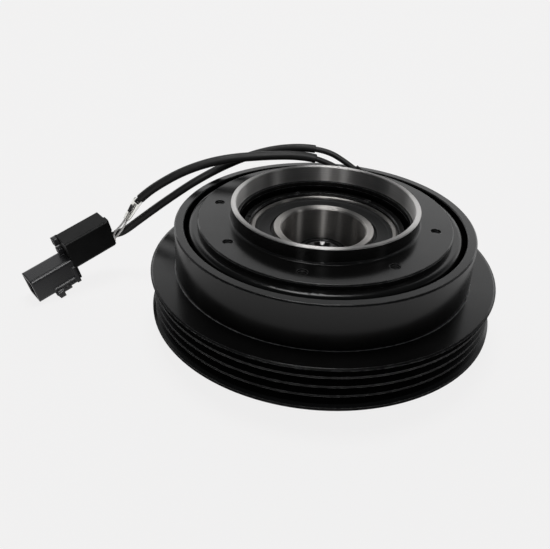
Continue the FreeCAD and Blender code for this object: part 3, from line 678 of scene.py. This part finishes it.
STRAND_ROUTES = (
    (
        (-73.9, 19.4, 31.0), (-75.5, 18.7, 28.0), (-77.6, 17.7, 24.6), (-79.4, 17.0, 20.9),
        (-81.6, 16.8, 17.9), (-83.15, 16.95, 16.2),
    ),
    (
        (-74.4, 19.8, 31.0), (-76.3, 19.2, 28.2), (-78.2, 18.7, 24.9), (-80.9, 18.4, 21.0),
        (-83.3, 17.8, 18.8), (-83.8, 17.6, 16.2),
    ),
)


def add_object(name, data):
    made = bpy.data.objects.new(name, data)
    bpy.context.scene.collection.objects.link(made)
    return made


def route_curve(name, route, diameter=0.0):
    """Open NURBS curve with the route's points as control points; diameter in mm."""
    data = bpy.data.curves.new(name, "CURVE")
    data.dimensions = "3D"
    data.resolution_u = 24
    spline = data.splines.new("NURBS")
    spline.points.add(len(route) - 1)
    for point, place in zip(spline.points, route):
        point.co = (*mm(*place), 1.0)
    spline.order_u = 3
    spline.use_endpoint_u = True
    data.bevel_depth = diameter / 2 * MM
    data.bevel_resolution = 8
    data.use_fill_caps = True
    return add_object(name, data)


def line_of(route):
    """Points along a route's NURBS curve."""
    probe = route_curve("probe", route)
    mesh = bpy.data.meshes.new_from_object(probe)
    points = [vertex.co.copy() for vertex in mesh.vertices]
    data = probe.data
    bpy.data.objects.remove(probe)
    bpy.data.curves.remove(data)
    bpy.data.meshes.remove(mesh)
    return points


def distances(points):
    walked = [0.0]
    for a, b in zip(points, points[1:]):
        walked.append(walked[-1] + (b - a).length)
    return walked


def resample(points, start, end, step):
    """Evenly spaced points between two distances along a line."""
    walked = distances(points)
    end = walked[-1] if end is None else min(end, walked[-1])
    count = max(2, round((end - start) / step) + 1)
    found, i = [], 0
    for k in range(count):
        want = start + (end - start) * k / (count - 1)
        while i < len(points) - 2 and walked[i + 1] < want:
            i += 1
        span = walked[i + 1] - walked[i]
        found.append(points[i].lerp(points[i + 1], (want - walked[i]) / span if span else 0.0))
    return found


def axes_along(points):
    """Pairs of side vectors that don't twist along a line."""
    ahead = points[1:] + points[-1:]
    behind = points[:1] + points[:-1]
    tangents = [(b - a).normalized() for a, b in zip(behind, ahead)]
    side = tangents[0].orthogonal().normalized()
    axes = []
    for i, tangent in enumerate(tangents):
        if i:
            side = tangents[i - 1].rotation_difference(tangent) @ side
        side = (side - tangent * side.dot(tangent)).normalized()
        axes.append((side.copy(), tangent.cross(side)))
    return axes


def sweep_rings(bm, points, radius_at, sides):
    """Rings of vertices along a line; radius_at(distance, angle)."""
    rings = []
    for point, (u, v), distance in zip(points, axes_along(points), distances(points)):
        ring = []
        for k in range(sides):
            angle = math.tau * k / sides
            radius = radius_at(distance, angle)
            ring.append(bm.verts.new(point + u * math.cos(angle) * radius + v * math.sin(angle) * radius))
        rings.append(ring)
    return rings


def skin(bm, rings):
    """Quads between each ring and the next; finish_mesh turns them outwards."""
    for a, b in zip(rings, rings[1:]):
        for k in range(len(a)):
            after = (k + 1) % len(a)
            bm.faces.new((a[k], a[after], b[after], b[k]))


def finish_mesh(name, bm, material):
    bmesh.ops.recalc_face_normals(bm, faces=bm.faces)
    mesh = bpy.data.meshes.new(name)
    bm.to_mesh(mesh)
    bm.free()
    for face in mesh.polygons:
        face.use_smooth = True
    mesh.materials.append(material)
    return add_object(name, mesh)


def hollow_tube(name, points, outer_at, inner_at, sides, material):
    """Closed sleeve with a wall: outer skin, inner skin and two end rings."""
    bm = bmesh.new()
    outside = sweep_rings(bm, points, outer_at, sides)
    inside = sweep_rings(bm, points, inner_at, sides)
    skin(bm, outside)
    skin(bm, inside)
    skin(bm, [inside[0], outside[0]])
    skin(bm, [outside[-1], inside[-1]])
    return finish_mesh(name, bm, material)


def sleeve_radius(outer, total, seed):
    """Outer radius of a sleeve: rolled at the cut ends, very slightly uneven between."""
    def at(distance, angle):
        from_end = min(distance, total - distance)
        roll = 0.0
        if from_end < LIP_RADIUS:
            roll = LIP_RADIUS - math.sqrt(max(LIP_RADIUS ** 2 - (LIP_RADIUS - from_end) ** 2, 0.0))
        across = (math.cos(angle) * UNEVEN_ROUND, math.sin(angle) * UNEVEN_ROUND)
        return outer - roll + noise.noise(Vector((distance * UNEVEN_ALONG + seed, *across))) * UNEVEN
    return at


def lead_sleeve(name, line, size, material, seed):
    points = resample(line, size["start"] * MM, size["end"] * MM, RING_STEP)
    # a few extra rings close to each cut end carry the rolled lip
    first, last = points[0], points[-1]
    ahead, back = points[1] - first, points[-2] - last
    points[1:1] = [first + ahead * step for step in LIP_RING_STEPS]
    points[-1:-1] = [last + back * step for step in reversed(LIP_RING_STEPS)]
    total = distances(points)[-1]
    outer_at = sleeve_radius(size["outer"] / 2 * MM, total, seed)

    def inner_at(distance, angle):
        return SLEEVE_BORE / 2 * MM

    return hollow_tube(name, points, outer_at, inner_at, SLEEVE_SIDES, material)


def add_leads():
    insulation = sleeve_vinyl("wire_insulation", 1.1)
    vinyl = sleeve_vinyl("sleeve_vinyl")
    # name, route, sleeve and the seed of its unevenness
    lead_list = (
        ("lead_a", LEAD_A_ROUTE, SLEEVE_A, 0.0),
        ("lead_b", LEAD_B_ROUTE, SLEEVE_B, 31.0),
    )
    leads = {}
    for name, route, size, seed in lead_list:
        wire = route_curve(name, route, WIRE_D)
        wire.data.materials.append(insulation)
        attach(wire, "stator")
        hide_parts(f"{name}_wire")
        line = line_of(route)
        sleeve = lead_sleeve(f"{name}_outer_sleeve", line, size, vinyl, seed)
        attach(sleeve, "stator")
        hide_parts(f"{name}_sleeve")
        leads[name] = (wire, sleeve, distances(line)[-1])
        print(name, "length", round(leads[name][2] * 1000, 1))
    return leads


def strand_bundle(name, route, turns, material):
    """Fine wires twisted round one in the middle, along a route."""
    line = resample(line_of(route), 0.0, None, STRAND_STEP)
    axes = axes_along(line)
    total = distances(line)[-1]
    wire_radius = STRAND_BUNDLE_D / 6 * MM
    bm = bmesh.new()
    for strand in range(STRANDS_ROUND + 1):
        path = []
        for point, (u, v), walked in zip(line, axes, distances(line)):
            angle = math.tau * (strand / STRANDS_ROUND + turns * walked / total)
            reach = 0.0 if strand == STRANDS_ROUND else 2 * wire_radius
            path.append(point + (u * math.cos(angle) + v * math.sin(angle)) * reach)
        rings = sweep_rings(bm, path, lambda distance, angle: wire_radius, STRAND_SIDES)
        skin(bm, rings)
        bm.faces.new(rings[0])
        bm.faces.new(reversed(rings[-1]))
    bundle = finish_mesh(name, bm, material)
    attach(bundle, "stator")
    return bundle


def splice_radius(total):
    """Outer radius of the clear sleeve: it tapers, grips the lead at its start and is wrinkled."""
    def at(distance, angle):
        share = distance / total
        base = SPLICE_START_R + (SPLICE_END_R - SPLICE_START_R) * share
        grip = SPLICE_GRIP * math.exp(-((share - SPLICE_GRIP_AT) / SPLICE_GRIP_SPREAD) ** 2)
        ripples = math.sin(distance * SPLICE_RIPPLES)
        folds = math.sin(2 * angle + distance * SPLICE_TWIST)
        return (base - grip + SPLICE_WAVE * (ripples + folds)) * MM
    return at


def add_splice():
    """Clear sleeve over the spliced strands and the suppressor diode."""
    clear = clear_plastic()
    tinned = plain("tinned_copper", grey(0.74, 0.02), 0.30, bump=0.2, vary=0.10, Metallic=0.25)
    points = resample(line_of(SPLICE_ROUTE), 0.0, None, SPLICE_STEP)
    outer_at = splice_radius(distances(points)[-1])

    def inner_at(distance, angle):
        return outer_at(distance, angle) - SPLICE_WALL * MM

    tube = hollow_tube("clear_splice", points, outer_at, inner_at, SPLICE_SIDES, clear)
    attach(tube, "stator")
    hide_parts("splice_sleeve")
    strands = [
        strand_bundle(f"strand_{side}", route, turns, tinned)
        for side, route, turns in zip(("near", "far"), STRAND_ROUTES, (2.5, 2.2))
    ]
    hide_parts("tinned_strands")
    assign("suppressor_diode", plain("diode_epoxy", grey(0.02), 0.3, Specular_IOR_Level=0.5))
    return [tube, *strands]


def main():
    add_camera()
    add_lights()
    add_floor()
    dress_nodes()
    leads, splice = add_leads(), add_splice()
    lead_pieces = [piece for wire, sleeve, _ in leads.values() for piece in (wire, sleeve)]
    add_lead_key([
        *splice, *lead_pieces, "suppressor_diode", "connector_housing", "connector_retainer", "wire_seals",
    ])
    bpy.context.scene.view_settings.view_transform = "Standard"


main()
